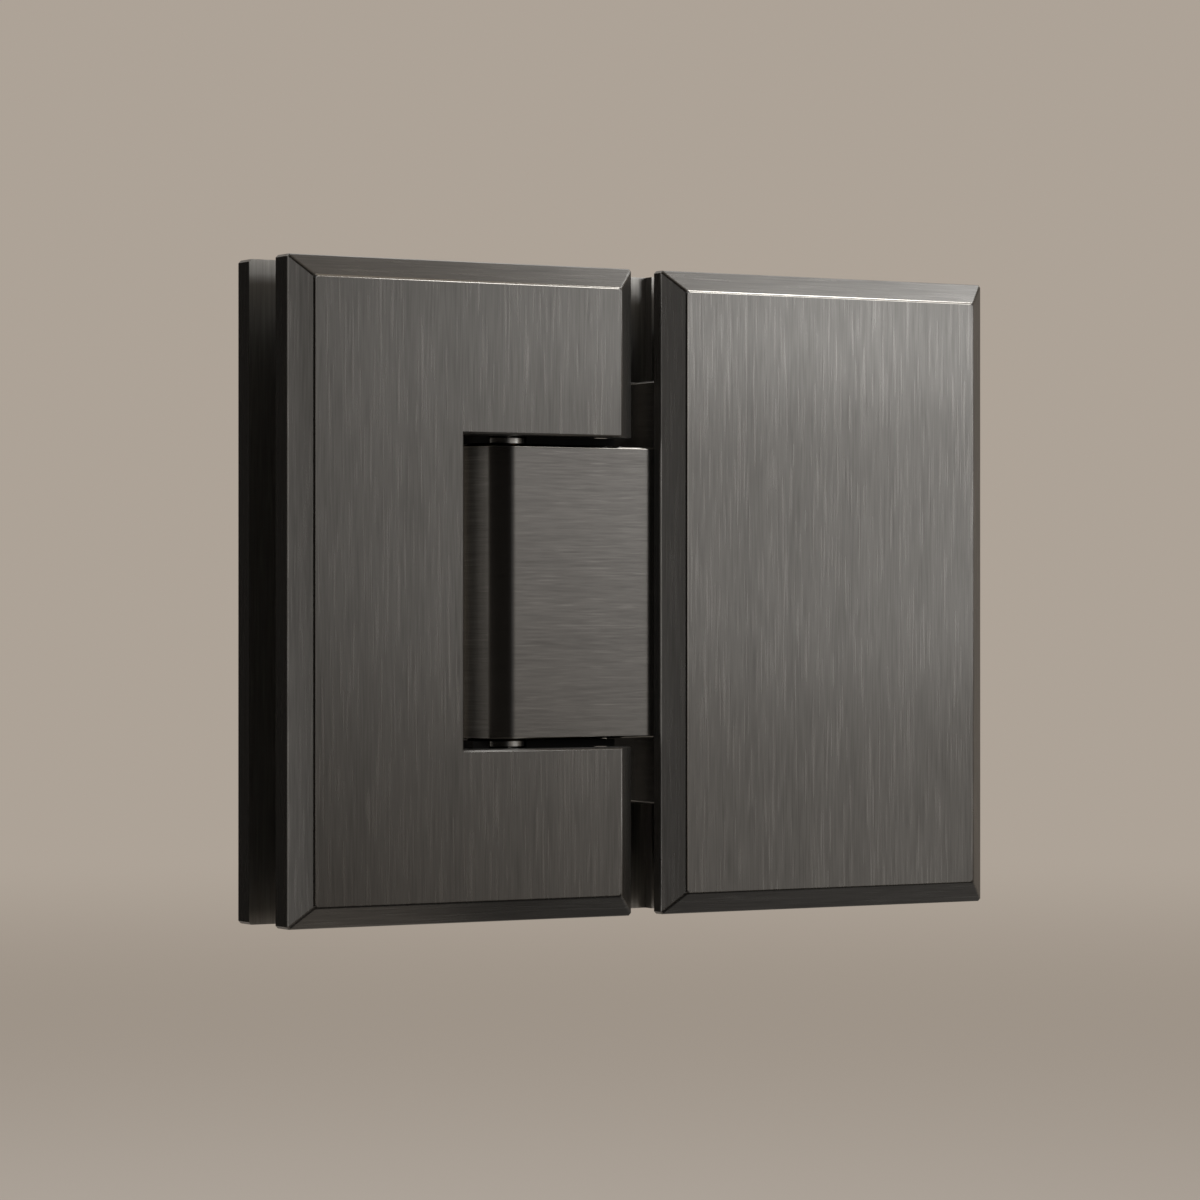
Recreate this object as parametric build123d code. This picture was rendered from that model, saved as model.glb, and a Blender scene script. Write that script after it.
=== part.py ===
from build123d import *
import os

# A glass-to-glass shower door hinge, 180 degrees when shut. All sizes in millimetres.
# X runs along the wall from the door half to the fixed half, Z is up, and the face seen
# from outside the shower is at -Y. The origin is the middle of the whole hinge.

# Cover plates
plate_height = 90.0
door_plate_width = 53.6
fixed_plate_width = 55.0
halves_gap = 4.8
plate_thickness = 5.7
glass_gap = 7.9
bevel_width = 2.9
bevel_depth = 2.3
plate_corner_break = 0.35
edge_round = 0.4

# Notch in the door plates, and the knuckle that turns in it
notch_depth = 27.9
notch_height = 43.0
notch_edge_break = 0.25
knuckle_gap = 1.2
pin_to_fixed_half = 22.2

# Seat of the pivot block and of the pin carrier, milled into the plates' inner faces
seat_depth = 1.65
seat_clearance = 0.1
fixed_margin_width = 5.5
block_height = 59.4
flange_length = 24.0
knuckle_edge_break = 0.3
carrier_spine_width = 14.0
carrier_end_inset = 3.6
carrier_edge_break = 0.4

# Pivot pin, its bushes and washers
pin_diameter = 6.0
pin_end_inset = 0.4
pin_end_chamfer = 0.4
cam_flat_depth = 0.5
cam_flat_height = 7.0
bush_wall = 1.0
bush_length = 7.0
running_clearance = 0.03
seat_fit_clearance = 0.02
bore_relief = 0.15
washer_diameter = 8.3
washer_edge_break = 0.2
washer_end_clearance = 0.05

# Slide pads on the carrier's arms, over the knuckle and round the back of the washers
pad_front_reach = 3.2
pad_inset = 0.1
pad_end_inset = 0.2
pad_clearance = 0.2

# Spring detents: a plunger, its spring and the screw plug behind it, above and below
detent_height = 9.0
plunger_diameter = 5.0
plunger_clearance = 0.05
plunger_head_length = 7.0
plunger_tail_diameter = 2.6
plunger_tail_length = 6.0
cam_clearance = 0.08
plug_diameter = 6.0
plug_length = 8.0
plug_inset = 1.0
plug_socket_width = 3.0
spring_wire_height = 0.7
spring_wire_width = 1.1
spring_diameter = 4.7
spring_turns = 6
spring_end_gap = 0.1

# Grub screws that lock the pin in its carrier
lock_screw_diameter = 4.0
lock_screw_inset = 0.6
lock_socket_width = 2.0
lock_flat_depth = 0.3
lock_flat_height = 4.8
grub_chamfer = 0.5
grub_socket_depth = 2.5

# Countersunk clamp screws and the bosses that they thread into
screw_diameter = 5.0
screw_length = 16.0
screw_head_diameter = 9.4
screw_head_rim = 0.3
screw_socket_width = 3.0
screw_socket_depth = 2.4
screw_spacing = 44.0
screw_sink = 0.1
screw_clearance = 0.25
boss_diameter = 8.0
boss_length = 6.0
boss_clearance = 0.1
fixed_screw_reach = 15.6
thread_end_gap = 1.0

# Glass gaskets
gasket_thickness = 0.95
gasket_inset = 6.2
gasket_block_gap = 0.8
gasket_corner_radius = 2.0

# How far a cutting shape runs past the face that it opens
cut_overrun = 1.0

# Places worked out from the sizes above
total_width = door_plate_width + halves_gap + fixed_plate_width
door_left = -total_width / 2
door_right = door_left + door_plate_width
fixed_left = door_right + halves_gap
fixed_right = total_width / 2
half_height = plate_height / 2
inner_y = -glass_gap / 2
face_y = inner_y - plate_thickness
seat_y = inner_y - seat_depth
block_thickness = glass_gap + 2 * seat_depth
pin_x = fixed_left - pin_to_fixed_half
notch_left = door_right - notch_depth
knuckle_height = notch_height - 2 * knuckle_gap
carrier_left = notch_left - carrier_spine_width
carrier_right = door_right - carrier_end_inset
carrier_arm_height = (block_height - notch_height) / 2
arm_middle = notch_height / 2 + carrier_arm_height / 2
flange_right = fixed_left + flange_length
bush_outer = pin_diameter + 2 * running_clearance + 2 * bush_wall
pin_radius = pin_diameter / 2
pin_length = block_height - 2 * pin_end_inset
cam_gap_face = pin_x + pin_radius + cam_clearance
plug_face = flange_right - plug_inset
spring_start = cam_gap_face + plunger_head_length
spring_end = plug_face - plug_length
door_screw_x = notch_left - carrier_spine_width / 2
fixed_screw_x = fixed_left + fixed_screw_reach
screw_head_y = -face_y - screw_sink


def box_between(low, high):
    """A block from its lowest to its highest corner."""
    size = [b - a for a, b in zip(low, high)]
    middle = [(a + b) / 2 for a, b in zip(low, high)]
    return Pos(*middle) * Box(*size)


def rod(start, direction, diameter, length):
    """A round bar that starts at a point and runs along a direction."""
    return extrude(Plane(origin=start, z_dir=direction) * Circle(diameter / 2), length)


def turned(start, direction, outline):
    """A turned piece: an outline of (radius, distance) points swung round its own axis."""
    base = Plane(origin=start, z_dir=direction)
    side = Plane(origin=start, x_dir=base.x_dir, z_dir=-base.y_dir)
    return revolve(side * make_face(Polyline(*outline, close=True)), Axis(start, direction))


def hex_socket(start, direction, width, depth):
    """The hexagonal hole for a key, sunk from a point along a direction."""
    return extrude(Plane(origin=start, z_dir=direction) * RegularPolygon(width / 2, 6, major_radius=False), depth)


def to_back(piece):
    """The same piece on the other side of the glass."""
    return mirror(piece, about=Plane.XZ)


def rounded_corner(before, corner, after):
    """Points that ease one corner of an edge profile, tangent to both of its sides."""
    start = corner + (before - corner).normalized() * edge_round / 2
    end = corner + (after - corner).normalized() * edge_round / 2
    middle = (start + end) / 4 + corner / 2
    return [start, middle, end]


def edge_profile():
    """Inset and height of a plate's edge, from its inner face over the bevel to its front face."""
    foot = Vector(0, plate_thickness - bevel_depth)
    top = Vector(bevel_width, plate_thickness)
    rounded_foot = rounded_corner(Vector(0, 0), foot, top)
    rounded_top = rounded_corner(foot, top, Vector(2 * bevel_width, plate_thickness))
    return [Vector(0, 0)] + rounded_foot + rounded_top


def plate_blank(left, right):
    """A front cover plate with its four bevels, before any hole or seat is cut."""
    inner = Plane(origin=((left + right) / 2, inner_y, 0), x_dir=(1, 0, 0), z_dir=(0, -1, 0))
    sections = []
    for point in edge_profile():
        outline = Rectangle(right - left - 2 * point.X, plate_height - 2 * point.X)
        sections.append(inner.offset(point.Y) * chamfer(outline.vertices(), plate_corner_break))
    return loft(sections, ruled=True)


def notch_cut():
    """The square notch, open towards the fixed half, with its front edge lightly broken."""
    middle_x = (notch_left + fixed_left) / 2
    width = fixed_left - notch_left
    front = Plane(origin=(middle_x, face_y, 0), x_dir=(1, 0, 0), z_dir=(0, 1, 0))
    wide = Rectangle(width + 2 * notch_edge_break, notch_height + 2 * notch_edge_break)
    narrow = Rectangle(width, notch_height)
    edge = loft([front * wide, front.offset(notch_edge_break) * narrow], ruled=True)
    hole = extrude(front.offset(-edge_round) * narrow, plate_thickness + 2 * edge_round)
    return edge + hole


def clamp_boss(x, z):
    """A threaded boss that stands on the inner side of a front plate."""
    return rod((x, seat_y, z), (0, 1, 0), boss_diameter, boss_length)


def clamp_thread(x, z):
    """The blind hole that a clamp screw turns into, a little deeper than the screw's tip."""
    mouth_y = seat_y + boss_length
    tip_y = screw_head_y - screw_length
    return rod((x, mouth_y, z), (0, -1, 0), screw_diameter + 2 * seat_fit_clearance,
               mouth_y - tip_y + thread_end_gap)


def screw_hole(x, z):
    """The countersunk hole in a back plate."""
    back_face = -face_y
    head = screw_head_diameter / 2 + screw_clearance / 2
    neck = screw_diameter / 2 + screw_clearance
    cone_depth = screw_sink + screw_head_rim + head - neck
    end = plate_thickness + cut_overrun
    outline = [(0, -cut_overrun), (head, -cut_overrun), (head, screw_sink + screw_head_rim),
               (neck, cone_depth), (neck, end), (0, end)]
    return turned((x, back_face, z), (0, -1, 0), outline)


def screw_places(x):
    return [(x, z) for z in (screw_spacing / 2, -screw_spacing / 2)]


def front_plate(blank, seat, x):
    plate = blank - seat
    for place in screw_places(x):
        plate = plate + clamp_boss(*place) - clamp_thread(*place)
    return plate


def back_plate(blank, seat, x):
    plate = to_back(blank - seat)
    for place in screw_places(x):
        plate = plate - screw_hole(*place)
    return plate


def carrier_outline(grow):
    """The U of the pin carrier, as thick as the block, with room added all round its edges."""
    left = carrier_left - grow
    top = block_height / 2 + grow
    arm_foot = notch_height / 2 - grow
    spine = box_between((left, seat_y, -top), (notch_left + grow, -seat_y, top))
    upper_arm = box_between((left, seat_y, arm_foot), (carrier_right + grow, -seat_y, top))
    return spine + upper_arm + mirror(upper_arm, about=Plane.XY)


def door_seat():
    """The blind pocket in a door plate's inner face that holds the carrier."""
    return carrier_outline(seat_clearance)


def fixed_seat():
    """The stepped margin and the pocket in a fixed plate's inner face."""
    start = fixed_left - cut_overrun
    margin = box_between((start, seat_y, -half_height - cut_overrun),
                         (fixed_left + fixed_margin_width, -seat_y, half_height + cut_overrun))
    pocket = box_between((start, seat_y, -block_height / 2 - seat_clearance),
                         (flange_right + seat_clearance, -seat_y, block_height / 2 + seat_clearance))
    return margin + pocket


def pin_carrier():
    """The U-shaped block, fixed between the door plates, whose arms hold the pin."""
    body = carrier_outline(0)
    long_edges = body.edges().filter_by(Axis.Y).filter_by(lambda edge: abs(edge.center().Z) > notch_height / 2)
    body = chamfer(long_edges, carrier_edge_break)
    body -= rod((pin_x, 0, -block_height / 2), (0, 0, 1), pin_diameter + 2 * seat_fit_clearance, block_height)
    for x, z in screw_places(door_screw_x):
        body -= rod((x, seat_y, z), (0, 1, 0), boss_diameter + 2 * boss_clearance, block_thickness)
    for z in (arm_middle, -arm_middle):
        body -= rod((carrier_right, 0, z), (-1, 0, 0), lock_screw_diameter + 2 * seat_fit_clearance,
                    carrier_right - pin_x)
    return body


def knuckle():
    """The round-nosed tongue of the pivot block that reaches into the notch."""
    nose = Pos(pin_x, 0) * Circle(block_thickness / 2)
    tongue = Pos((pin_x + fixed_left) / 2, 0) * Rectangle(fixed_left - pin_x, block_thickness)
    body = Pos(0, 0, -knuckle_height / 2) * extrude(nose + tongue, knuckle_height)
    rim = [edge for face in (body.faces().sort_by(Axis.Z)[0], body.faces().sort_by(Axis.Z)[-1])
           for edge in face.edges() if edge.center().X < fixed_left - knuckle_edge_break]
    return chamfer(rim, knuckle_edge_break)


def flange():
    """The part of the pivot block that the fixed plates clamp."""
    body = box_between((fixed_left, seat_y, -block_height / 2), (flange_right, -seat_y, block_height / 2))
    return chamfer(body.edges().filter_by(Axis.Y) + body.edges().filter_by(Axis.X), carrier_edge_break)


def pivot_block():
    body = flange() + knuckle()
    body -= rod((pin_x, 0, -knuckle_height / 2), (0, 0, 1), pin_diameter + 2 * bore_relief, knuckle_height)
    for side in (1, -1):
        body -= rod((pin_x, 0, side * knuckle_height / 2), (0, 0, -side),
                    bush_outer + 2 * seat_fit_clearance, bush_length + seat_fit_clearance)
        z = side * detent_height
        body -= rod((flange_right, 0, z), (-1, 0, 0), plunger_diameter + 2 * plunger_clearance,
                    flange_right - pin_x)
        body -= rod((flange_right, 0, z), (-1, 0, 0), plug_diameter + 2 * seat_fit_clearance,
                    plug_length + plug_inset)
    for x, z in screw_places(fixed_screw_x):
        body -= rod((x, seat_y, z), (0, 1, 0), boss_diameter + 2 * boss_clearance, block_thickness)
    return body


def bush(side):
    """A plain sleeve bearing in one end of the knuckle."""
    start = (pin_x, 0, side * (knuckle_height / 2 - bush_length))
    outer = rod(start, (0, 0, side), bush_outer, bush_length)
    return outer - rod(start, (0, 0, side), pin_diameter + 2 * running_clearance, bush_length)


def washer(side):
    """The thrust washer between the knuckle and one arm of the carrier."""
    thickness = knuckle_gap - 2 * washer_end_clearance
    start = (pin_x, 0, side * (knuckle_height / 2 + washer_end_clearance))
    ring = rod(start, (0, 0, side), washer_diameter, thickness)
    ring = chamfer(ring.edges(), washer_edge_break)
    return ring - rod(start, (0, 0, side), pin_diameter + 2 * running_clearance, thickness)


def slide_pad(side):
    """The thin pad between knuckle and notch, open to the front round its washer."""
    start = side * (knuckle_height / 2 + pad_clearance)
    reach = block_thickness / 2 - pad_inset
    pad = box_between((pin_x - reach, -pad_front_reach, min(start, side * notch_height / 2)),
                      (door_right - pad_end_inset, reach, max(start, side * notch_height / 2)))
    return pad - rod((pin_x, 0, start), (0, 0, side), washer_diameter + 2 * pad_clearance, knuckle_gap)


def pivot_pin():
    """The pin, round in its bushes, with four flats at each detent and one at each lock screw."""
    pin = Pos(pin_x, 0, 0) * Cylinder(pin_radius, pin_length)
    pin = chamfer(pin.edges().filter_by(GeomType.CIRCLE), pin_end_chamfer)
    flat_at = pin_radius - cam_flat_depth
    square = Box(2 * flat_at, 2 * flat_at, cam_flat_height)
    sleeve = Box(2 * pin_diameter, 2 * pin_diameter, cam_flat_height) - square
    for side in (1, -1):
        pin -= Pos(pin_x, 0, side * detent_height) * sleeve
        lock_x = pin_x + pin_radius - lock_flat_depth
        pin -= box_between((lock_x, -pin_radius, side * arm_middle - lock_flat_height / 2),
                           (lock_x + pin_radius, pin_radius, side * arm_middle + lock_flat_height / 2))
    return pin


def plunger(side):
    """A flat-ended plunger with a tail that guides the spring."""
    head = plunger_diameter / 2
    tail = plunger_tail_diameter / 2
    end = plunger_head_length + plunger_tail_length
    outline = [(0, 0), (head - grub_chamfer / 2, 0), (head, grub_chamfer / 2), (head, plunger_head_length),
               (tail, plunger_head_length), (tail, end - grub_chamfer), (tail - grub_chamfer, end), (0, end)]
    return turned((cam_gap_face, 0, side * detent_height), (1, 0, 0), outline)


def spring(side):
    """The die spring of flat wire behind one plunger."""
    coil = (spring_diameter - spring_wire_width) / 2
    low = spring_start + spring_end_gap + spring_wire_height
    high = spring_end - spring_end_gap - spring_wire_height
    path = Helix((high - low) / spring_turns, high - low, coil, center=(low, 0, side * detent_height),
                 direction=(1, 0, 0))
    outwards = path @ 0 - Vector(low, 0, side * detent_height)
    section = Plane(origin=path @ 0, x_dir=outwards, z_dir=path % 0)
    return sweep(section * Rectangle(spring_wire_width, spring_wire_height), path, is_frenet=True)


def grub_screw(face, tip, z, diameter, socket_width):
    """A headless screw along X, with its key socket at the face end. Its thread is left plain."""
    length = face - tip
    radius = diameter / 2
    outline = [(0, 0), (radius - grub_chamfer, 0), (radius, grub_chamfer), (radius, length - grub_chamfer),
               (radius - grub_chamfer, length), (0, length)]
    body = turned((face, 0, z), (-1, 0, 0), outline)
    return body - hex_socket((face, 0, z), (-1, 0, 0), socket_width, grub_socket_depth)


def spring_plug(side):
    return grub_screw(plug_face, spring_end, side * detent_height, plug_diameter, plug_socket_width)


def pin_lock_screw(side):
    tip = pin_x + pin_radius - lock_flat_depth + seat_fit_clearance
    return grub_screw(carrier_right - lock_screw_inset, tip, side * arm_middle, lock_screw_diameter,
                      lock_socket_width)


def clamp_screw(x, z):
    """A countersunk screw with a hexagon socket, put in from the back. Its thread is left plain."""
    head = screw_head_diameter / 2
    shank = screw_diameter / 2
    cone = screw_head_rim + head - shank
    outline = [(0, 0), (head - screw_head_rim / 2, 0), (head, screw_head_rim / 2), (head, screw_head_rim),
               (shank, cone), (shank, screw_length - grub_chamfer), (shank - grub_chamfer, screw_length),
               (0, screw_length)]
    top = (x, screw_head_y, z)
    return turned(top, (0, -1, 0), outline) - hex_socket(top, (0, -1, 0), screw_socket_width, screw_socket_depth)


def clamp_screws(x):
    return Compound(children=[clamp_screw(*place) for place in screw_places(x)])


def gasket(left, right, block_left, block_right):
    """A soft pad between a front plate and the glass, cut away round the block."""
    inner = Plane(origin=(0, inner_y, 0), x_dir=(1, 0, 0), z_dir=(0, 1, 0))
    height = plate_height - 2 * gasket_inset
    outer = Pos((left + right) / 2, 0) * RectangleRounded(right - left, height, gasket_corner_radius)
    room = block_height + 2 * gasket_block_gap
    cut = Pos((block_left + block_right) / 2, 0) * Rectangle(block_right - block_left, room)
    return extrude(inner * (outer - cut), gasket_thickness)


def door_gasket():
    return gasket(door_left + gasket_inset, door_right - gasket_inset,
                  carrier_left - gasket_block_gap, door_right)


def fixed_gasket():
    return gasket(fixed_left + fixed_margin_width + gasket_block_gap, fixed_right - gasket_inset,
                  fixed_left, flange_right + gasket_block_gap)


def build():
    door_blank = plate_blank(door_left, door_right) - notch_cut()
    fixed_blank = plate_blank(fixed_left, fixed_right)
    parts = {
        "door_front_plate": front_plate(door_blank, door_seat(), door_screw_x),
        "door_back_plate": back_plate(door_blank, door_seat(), door_screw_x),
        "pin_carrier": pin_carrier(),
        "pivot_pin": pivot_pin(),
        "door_front_gasket": door_gasket(),
        "door_back_gasket": to_back(door_gasket()),
        "door_clamp_screws": clamp_screws(door_screw_x),
        "fixed_front_plate": front_plate(fixed_blank, fixed_seat(), fixed_screw_x),
        "fixed_back_plate": back_plate(fixed_blank, fixed_seat(), fixed_screw_x),
        "pivot_block": pivot_block(),
        "fixed_front_gasket": fixed_gasket(),
        "fixed_back_gasket": to_back(fixed_gasket()),
        "fixed_clamp_screws": clamp_screws(fixed_screw_x),
    }
    for name, side in (("upper", 1), ("lower", -1)):
        parts[f"{name}_bush"] = bush(side)
        parts[f"{name}_washer"] = washer(side)
        parts[f"{name}_slide_pad"] = slide_pad(side)
        parts[f"{name}_plunger"] = plunger(side)
        parts[f"{name}_spring"] = spring(side)
        parts[f"{name}_spring_plug"] = spring_plug(side)
        parts[f"{name}_pin_lock_screw"] = pin_lock_screw(side)
    return parts


os.makedirs("parts", exist_ok=True)
for name, part in build().items():
    export_step(part, f"parts/{name}.step")
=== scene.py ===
"""Dresses the shower door hinge: its plates, pivot block, screws, gaskets and studio."""

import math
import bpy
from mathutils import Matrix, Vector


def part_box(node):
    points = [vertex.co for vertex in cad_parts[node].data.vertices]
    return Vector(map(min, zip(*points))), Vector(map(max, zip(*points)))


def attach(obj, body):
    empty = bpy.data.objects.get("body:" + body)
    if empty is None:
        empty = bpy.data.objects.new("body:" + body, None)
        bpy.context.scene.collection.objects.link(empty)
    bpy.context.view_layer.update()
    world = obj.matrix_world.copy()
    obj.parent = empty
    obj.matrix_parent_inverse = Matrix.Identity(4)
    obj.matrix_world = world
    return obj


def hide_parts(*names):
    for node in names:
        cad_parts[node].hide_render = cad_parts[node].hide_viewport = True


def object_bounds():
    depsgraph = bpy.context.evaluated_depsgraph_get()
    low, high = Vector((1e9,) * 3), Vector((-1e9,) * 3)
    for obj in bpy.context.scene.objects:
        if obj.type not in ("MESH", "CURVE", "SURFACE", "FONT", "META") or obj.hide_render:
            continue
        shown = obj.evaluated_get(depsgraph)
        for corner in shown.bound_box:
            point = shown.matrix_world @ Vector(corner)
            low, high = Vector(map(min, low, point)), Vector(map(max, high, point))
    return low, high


bl_info = {
    "name": "Shower Door Hinge",
    "version": (1, 0, 0),
    "blender": (4, 5, 0),
    "location": "View3D > Sidebar > Hinge",
    "description": "Finishes a glass-to-glass shower door hinge and sets up its studio",
    "category": "Object",
}

import bmesh
import bpy
from mathutils import Vector

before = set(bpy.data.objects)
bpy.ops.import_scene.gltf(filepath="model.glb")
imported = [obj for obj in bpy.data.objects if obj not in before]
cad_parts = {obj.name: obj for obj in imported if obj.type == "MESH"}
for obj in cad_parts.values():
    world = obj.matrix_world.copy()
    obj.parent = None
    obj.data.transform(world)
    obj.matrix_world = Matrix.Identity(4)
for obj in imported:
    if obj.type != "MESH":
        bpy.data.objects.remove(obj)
CAD_BOUNDS = [list(corner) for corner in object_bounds()]

MM = 0.001

# The nodes, by the body that they move with or by their finish
DOOR, FIXED = "door_half", "fixed_half"
PLATES = {
    "door_front_plate": DOOR,
    "door_back_plate": DOOR,
    "fixed_front_plate": FIXED,
    "fixed_back_plate": FIXED,
}
BLOCKS = {"pivot_block": FIXED, "pin_carrier": DOOR}
CLAMP_NODES = {"door_clamp_screws": DOOR, "fixed_clamp_screws": FIXED}
STEEL_NODES = ("pivot_pin", "upper_plunger", "lower_plunger")
SPRING_NODES = ("upper_spring", "lower_spring")
BUSH_NODES = ("upper_bush", "lower_bush")
PAD_NODES = ("upper_slide_pad", "lower_slide_pad")
WASHER_NODES = ("upper_washer", "lower_washer")
GASKET_NODES = ("door_front_gasket", "door_back_gasket", "fixed_front_gasket",
                "fixed_back_gasket")
PLUG_NODES = ("upper_spring_plug", "lower_spring_plug")
LOCK_NODES = ("upper_pin_lock_screw", "lower_pin_lock_screw")

# Kinds of face, on a plate and on a block; each number is its material's place in the list
# Polished edge strips get a lighter colour, which is a painted highlight; milled walls and inner
# faces get lighter colours, which are painted light
UPRIGHT, ACROSS, INSIDE, EDGE_HIGHLIGHT, MILLED_LIT = range(5)
BLOCK_ROUND, BLOCK_MILLED_LIT, BLOCK_EDGE_HIGHLIGHT = range(3)

# How much of a face's normal lies along an axis
HARDLY, A_LITTLE, SLOPING, NEARLY_SQUARE, SQUARE = 0.1, 0.2, 0.3, 0.8, 0.9

# The least area of a wide face, the greatest width of a broken edge, and how far inside a plate's
# outline its notch and its stepped margin lie
WIDE_FACE = 20 * MM * MM
NARROW_EDGE = 0.5 * MM
OUTLINE_MARGIN = 1 * MM

# Corners closer than this are one, and faces that turn less than this are one flat face
WELD_DISTANCE = 0.001 * MM
FLAT_ANGLE = math.radians(0.2)

# Edges that turn more than this stay sharp; with the full weight, wide faces stay flat
PLATE_CREASE, BLOCK_CREASE, SCREW_CREASE = math.radians(25), math.radians(50), math.radians(32)
FULL_WEIGHT = 100

# The middles of the round nose's faces lie between these shares of its radius
NOSE_NEAREST, NOSE_FARTHEST = 0.93, 1.01

# Brush lines: the waves of noise in one line, the shares of fine and wide lines, the scale of
# each layer beside that of the fine lines, and the noise at which a scratch starts and is whole
WAVES_PER_LINE = 0.5
FINE_SHARE, WIDE_SHARE = 0.7, 0.3
WIDE_SCALE, BAND_SCALE, SCRATCH_SCALE = 0.37, 0.07, 0.8
SCRATCH_START, SCRATCH_WHOLE = 0.62, 0.76

# How much bands and scratches count beside the lines, and what the sum does to the roughness
BAND_STRENGTH, SCRATCH_STRENGTH = 0.25, 0.25
ROUGHNESS_SWING = -0.1

# Brushed finishes: the roughness of inner faces and milled walls, and the round block's quarter
# turn of the shine and finer lines
INSIDE_ROUGHNESS, MILLED_ROUGHNESS = 0.34, 0.40
QUARTER_TURN, BLOCK_FINENESS = 0.25, 1.3

# Plain finishes: roughness, metallic, grains in a metre, unevenness and depth of the grain
GRAIN_DETAIL = 5.0
PLAIN_FINISHES = {
    # Polished edges: smooth, and their lighter colour, given apart, is a painted highlight
    "Gunmetal polished edge": (0.15, 1.0, 1800, 0.06, 0.0002 * MM),
    "Dark plated steel": (0.32, 1.0, 1500, 0.15, 0.001 * MM),
    "Black oxide steel": (0.42, 1.0, 1500, 0.2, 0.001 * MM),
    "Ground steel": (0.16, 1.0, 2500, 0.12, 0.0005 * MM),
    # Washer steel: the steel's colour darkened as painted shade
    "Dark washer steel": (0.22, 1.0, 2500, 0.12, 0.0005 * MM),
    "Sintered bronze": (0.45, 1.0, 4000, 0.3, 0.003 * MM),
    "Spring wire": (0.3, 1.0, 1200, 0.2, 0.001 * MM),
    # Black nylon: its near-black colour is partly painted shade
    "Black nylon": (0.7, 0.0, 2600, 0.25, 0.004 * MM),
    "Gasket rubber": (0.62, 0.0, 2200, 0.25, 0.01 * MM),
}
OXIDE_COLOR = (0.03, 0.03, 0.03)
WIRE_COLOR = (0.32, 0.31, 0.30)
# Slide pads: black nylon, made nearly black as painted shade so that the slits above and below the
# knuckle stay black
NYLON_PAINTED_SHADE_COLOR = (0.004, 0.004, 0.004)
# Share of the steel's colour that the washers keep: painted shade for the dark slits they sit in
WASHER_PAINTED_SHADE = 0.4
DULL_SHINE = 0.1

# Screws: keys and how deep they go, pitches, the clamp screws' thread, the share of a grub
# screw's diameter that its thread is deep, and what shapes the ends and flanks of every thread
CLAMP_KEY, PLUG_KEY, LOCK_KEY = 3 * MM, 3 * MM, 2 * MM
CLAMP_KEY_DEPTH, GRUB_KEY_DEPTH = 2.4 * MM, 2.5 * MM
CLAMP_PITCH, PLUG_PITCH, LOCK_PITCH = 0.8 * MM, 0.75 * MM, 0.7 * MM
CLAMP_DIAMETER, CLAMP_THREAD_DEPTH = 5 * MM, 0.55 * MM
GRUB_THREAD_SHARE = 0.11
AXIS_HOLE = 0.05 * MM
THREAD_END = 0.5 * MM
THREAD_STEPS = 10
FLANK_STEEPNESS = 1.25
GRUB_SEGMENTS, CLAMP_SEGMENTS = 36, 48

# Softboxes: azimuth, elevation and distance, width and height in degrees as the hinge sees them,
# and radiance
SOFTBOXES = {
    "key_middle": ((40, 4, 0.32), 13, 13, 0.67),
    "key_low": ((40, -8, 0.32), 13, 13, 1.06),
    "key_high": ((40, 16, 0.25), 14, 13, 3.51),
    "key_left": ((28, 4, 0.32), 13, 13, 0.68),
    "key_left_upper": ((28, 16, 0.32), 13, 13, 0.28),
    "key_left_high": ((28, 24, 0.32), 13, 8, 6.40),
    "key_right": ((52, 4, 0.32), 13, 13, 3.03),
    "nose_glow": ((16, 4, 0.32), 12, 26, 0.22),
    "upper_middle": ((52, 46, 0.32), 13, 13, 8.03),
    "upper_right": ((82, 46, 0.32), 13, 13, 3.00),
    "top_right": ((110, 55, 0.5), 30, 20, 1.90),
    "behind_top": ((180, 60, 1.0), 60, 40, 1.47),
    "far_left": ((-70, 0, 1.0), 30, 50, 1.04),
}

# Felt panels that only the gloss sees: azimuths, distance and height of both long edges, and the
# felt. A height of None is the floor
ON_FLOOR = None
PANELS = {
    "front_flag": ((-52, 20), (0.72, ON_FLOOR), (0.72, 0.80), "Black felt"),
    "left_flag": ((-168, -98), (0.72, ON_FLOOR), (0.72, 0.36), "Black felt"),
    "low_front_flag": ((-45, 57), (0.04, -0.15), (0.40, -0.15), "Black felt"),
    "low_side_flag": ((57, 115), (0.03, -0.16), (0.40, -0.16), "Grey felt"),
}
PANEL_STEPS = 8
FELT_TONES = {"Black felt": 0.02, "Grey felt": 0.27}
FELT_ROUGHNESS = 0.9

# Floor: half its side, and the parts of that between which it fades into the room
FLOOR_HALF = 3.0
FADE_START, FADE_END = 0.15, 0.8

# Camera: its pitch, and the point that it looks at, from the left edge and below the middle
CAMERA_PITCH = math.radians(0.1)
LOOK_FROM_LEFT, LOOK_DROP = 47.14 * MM, 1.08 * MM


# Settings that a user would change

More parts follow.
